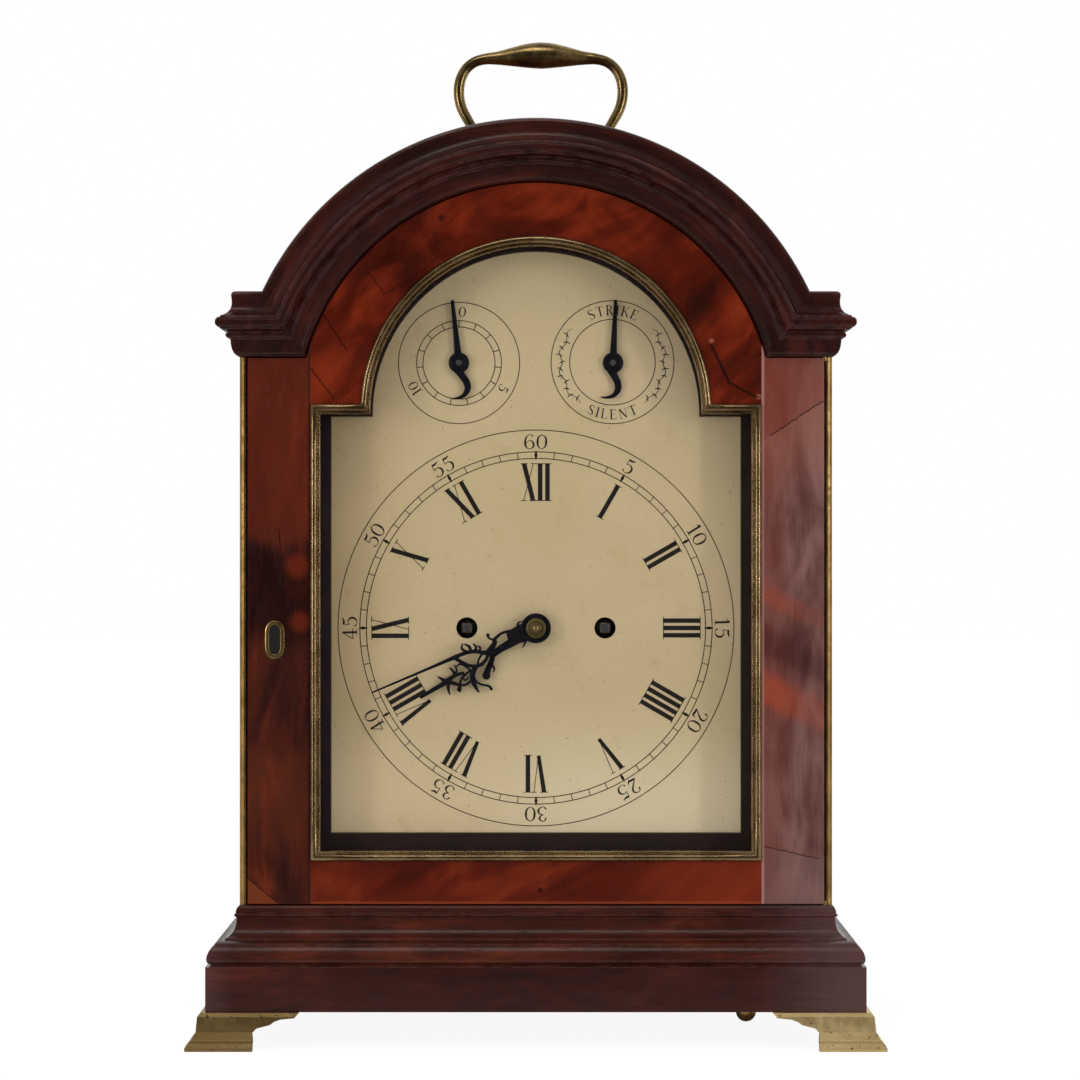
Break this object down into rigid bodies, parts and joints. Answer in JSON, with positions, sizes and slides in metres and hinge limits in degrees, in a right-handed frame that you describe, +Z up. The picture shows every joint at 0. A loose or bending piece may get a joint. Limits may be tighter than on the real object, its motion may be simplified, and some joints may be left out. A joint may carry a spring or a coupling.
{
  "type": "bracket clock",
  "caption": "Spring-driven table clock in a break-arch wooden case with a glazed front door, arched painted dial, brass carrying handle and bracket feet.",
  "frame": {"origin": "on the floor, under the middle of the clock's overall box", "axes": "+Z up, +X to the right as the dial is read, the dial faces -Y"},
  "size_m": [0.3218, 0.2058, 0.4811],
  "materials": {
    "mahogany": "figured mahogany veneer, polished",
    "mahogany_dark": "dark polished mahogany mouldings",
    "carcase_wood": "plain oak, unpolished",
    "brass": "aged brass with dull patina",
    "brass_feet": "cast brass, rubbed bright",
    "brass_movement": "lacquered movement brass",
    "silk": "backing silk",
    "mask_black": "ebonised wood",
    "glass": "clear sheet glass",
    "steel": "bright steel",
    "blued_steel": "blued steel",
    "painted_dial": "cream painted dial",
    "bell_metal": "bell metal"
  },
  "bodies": {
    "root": {"plinth_frame": "mahogany_dark", "base_moulding": "mahogany_dark", "base_board": "carcase_wood", "bracket_feet": "brass_feet", "side_panel_right": "mahogany", "side_panel_left": "mahogany", "side_frets": "brass", "side_silks": "silk", "arched_roof": "mahogany_dark", "front_cornice": "mahogany_dark", "side_cornices": "mahogany_dark", "corner_beads": "brass", "dial_mask": "mask_black", "seat_board": "carcase_wood", "handle_posts": "brass", "dial_plate": "painted_dial", "front_plate": "brass_movement", "back_plate": "brass_movement", "plate_pillars": "brass_movement", "back_cock": "brass_movement", "bell_and_stand": "bell_metal"},
    "front_door": {"door_stile_left": "mahogany", "door_stile_right": "mahogany", "door_bottom_rail": "mahogany", "door_arched_head": "mahogany", "door_bezel": "brass", "door_glass": "glass", "door_hinges": "brass", "keyhole_escutcheon": "brass", "door_lock": "brass"},
    "lock_bolt": {"lock_bolt": "steel"},
    "rear_door": {"rear_door_frame": "mahogany_dark", "rear_door_glass": "glass", "rear_door_pins": "brass"},
    "rear_catch": {"rear_door_catch": "brass"},
    "handle": {"carrying_handle": "brass"},
    "minute_train": {"minute_hand": "blued_steel", "hand_collet": "brass", "cannon_pinion": "steel", "centre_wheel": "brass_movement"},
    "hour_train": {"hour_hand": "blued_steel", "hour_wheel": "brass_movement"},
    "minute_wheel": {"minute_wheel": "brass_movement"},
    "going_fusee": {"going_fusee": "brass_movement"},
    "going_barrel": {"going_barrel": "brass_movement"},
    "third_wheel": {"third_wheel": "brass_movement"},
    "escape_wheel": {"escape_wheel": "brass_movement"},
    "pendulum": {"pendulum_rod": "steel", "pendulum_bob": "brass_movement"},
    "anchor": {"anchor_and_crutch": "steel"},
    "rise_fall_hand": {"rise_fall_hand": "blued_steel"},
    "strike_silent_hand": {"strike_silent_hand": "blued_steel"},
    "locking_wheel": {"locking_wheel": "brass_movement"},
    "pin_wheel": {"pin_wheel": "brass_movement"},
    "strike_fusee": {"strike_fusee": "brass_movement"},
    "strike_barrel": {"strike_barrel": "brass_movement"},
    "fly": {"fly": "steel"},
    "hammer": {"hammer": "steel"},
    "repeat_knob": {"repeat_knob": "brass"}
  },
  "joints": [
    {"name": "front_door_hinge", "type": "hinge", "parent": "root", "child": "front_door", "pos_m": [0.13445, -0.078, 0.1927], "axis": [0, 0, 1], "range_deg": [0, 110]},
    {"name": "lock_bolt_slide", "type": "slide", "parent": "front_door", "child": "lock_bolt", "axis": [-1, 0, 0], "range_m": [0, 0.003]},
    {"name": "rear_door_hinge", "type": "hinge", "parent": "root", "child": "rear_door", "pos_m": [0.1212, 0.0944, 0.1927], "axis": [0, 0, -1], "range_deg": [0, 100]},
    {"name": "rear_catch_turn", "type": "hinge", "parent": "rear_door", "child": "rear_catch", "pos_m": [-0.112, 0.0844, 0.2111], "axis": [0, 1, 0], "range_deg": [0, 90]},
    {"name": "handle_swing", "type": "hinge", "parent": "root", "child": "handle", "pos_m": [0, 0.022, 0.4346], "axis": [1, 0, 0], "range_deg": [-84, 84]},
    {"name": "minute_hand_turn", "type": "hinge", "parent": "root", "child": "minute_train", "pos_m": [0, -0.06, 0.1927], "axis": [0, 1, 0], "continuous": true},
    {"name": "hour_hand_turn", "type": "hinge", "parent": "root", "child": "hour_train", "pos_m": [0, -0.058, 0.1927], "axis": [0, 1, 0], "continuous": true},
    {"name": "minute_wheel_turn", "type": "hinge", "parent": "root", "child": "minute_wheel", "pos_m": [0.008, -0.044, 0.17884], "axis": [0, 1, 0], "continuous": true},
    {"name": "going_fusee_turn", "type": "hinge", "parent": "root", "child": "going_fusee", "pos_m": [0.0326, -0.01, 0.1927], "axis": [0, 1, 0], "continuous": true},
    {"name": "going_barrel_turn", "type": "hinge", "parent": "root", "child": "going_barrel", "pos_m": [0.051, -0.01, 0.1441], "axis": [0, 1, 0], "continuous": true},
    {"name": "third_wheel_turn", "type": "hinge", "parent": "root", "child": "third_wheel", "pos_m": [0.004, -0.01, 0.21539], "axis": [0, 1, 0], "continuous": true},
    {"name": "escape_wheel_turn", "type": "hinge", "parent": "root", "child": "escape_wheel", "pos_m": [0, 0, 0.234], "axis": [0, 1, 0], "continuous": true},
    {"name": "pendulum_swing", "type": "hinge", "parent": "root", "child": "pendulum", "pos_m": [0, 0.042, 0.2545], "axis": [0, 1, 0], "range_deg": [-2, 2]},
    {"name": "anchor_rock", "type": "hinge", "parent": "root", "child": "anchor", "pos_m": [0, 0, 0.2545], "axis": [0, 1, 0], "range_deg": [-2, 2]},
    {"name": "rise_fall_turn", "type": "hinge", "parent": "root", "child": "rise_fall_hand", "pos_m": [-0.0363, -0.0562, 0.3177], "axis": [0, 1, 0], "range_deg": [0, 330]},
    {"name": "strike_silent_turn", "type": "hinge", "parent": "root", "child": "strike_silent_hand", "pos_m": [0.0363, -0.0562, 0.3177], "axis": [0, 1, 0], "range_deg": [0, 175]},
    {"name": "locking_wheel_turn", "type": "hinge", "parent": "root", "child": "locking_wheel", "pos_m": [-0.03134, -0.01, 0.24392], "axis": [0, 1, 0], "continuous": true},
    {"name": "pin_wheel_turn", "type": "hinge", "parent": "root", "child": "pin_wheel", "pos_m": [-0.02416, -0.01, 0.22419], "axis": [0, 1, 0], "continuous": true},
    {"name": "strike_fusee_turn", "type": "hinge", "parent": "root", "child": "strike_fusee", "pos_m": [-0.0326, -0.01, 0.1927], "axis": [0, 1, 0], "continuous": true},
    {"name": "strike_barrel_turn", "type": "hinge", "parent": "root", "child": "strike_barrel", "pos_m": [-0.051, -0.01, 0.1441], "axis": [0, 1, 0], "continuous": true},
    {"name": "fly_turn", "type": "hinge", "parent": "root", "child": "fly", "pos_m": [-0.04485, -0.01, 0.25172], "axis": [0, 1, 0], "continuous": true},
    {"name": "hammer_lift", "type": "hinge", "parent": "root", "child": "hammer", "pos_m": [-0.058, 0, 0.2311], "axis": [0, -1, 0], "range_deg": [0, 12], "stiffness_Nm_per_rad": 0.05, "springref_deg": -17.19},
    {"name": "repeat_pull", "type": "slide", "parent": "root", "child": "repeat_knob", "axis": [0, 0, -1], "range_m": [0, 0.005], "stiffness_N_per_m": 60, "springref_m": -0.01}
  ],
  "couplings": [
    {"joint": "hour_hand_turn", "follows": "minute_hand_turn", "ratio": 0.083333},
    {"joint": "minute_wheel_turn", "follows": "minute_hand_turn", "ratio": -0.33333},
    {"joint": "going_fusee_turn", "follows": "minute_hand_turn", "ratio": -0.13333},
    {"joint": "going_barrel_turn", "follows": "minute_hand_turn", "ratio": -0.12},
    {"joint": "third_wheel_turn", "follows": "minute_hand_turn", "ratio": -7},
    {"joint": "escape_wheel_turn", "follows": "minute_hand_turn", "ratio": 42},
    {"joint": "anchor_rock", "follows": "pendulum_swing", "ratio": 1},
    {"joint": "pin_wheel_turn", "follows": "locking_wheel_turn", "ratio": -0.16667},
    {"joint": "strike_fusee_turn", "follows": "locking_wheel_turn", "ratio": 0.022222},
    {"joint": "strike_barrel_turn", "follows": "locking_wheel_turn", "ratio": 0.02},
    {"joint": "fly_turn", "follows": "locking_wheel_turn", "ratio": -5}
  ]
}
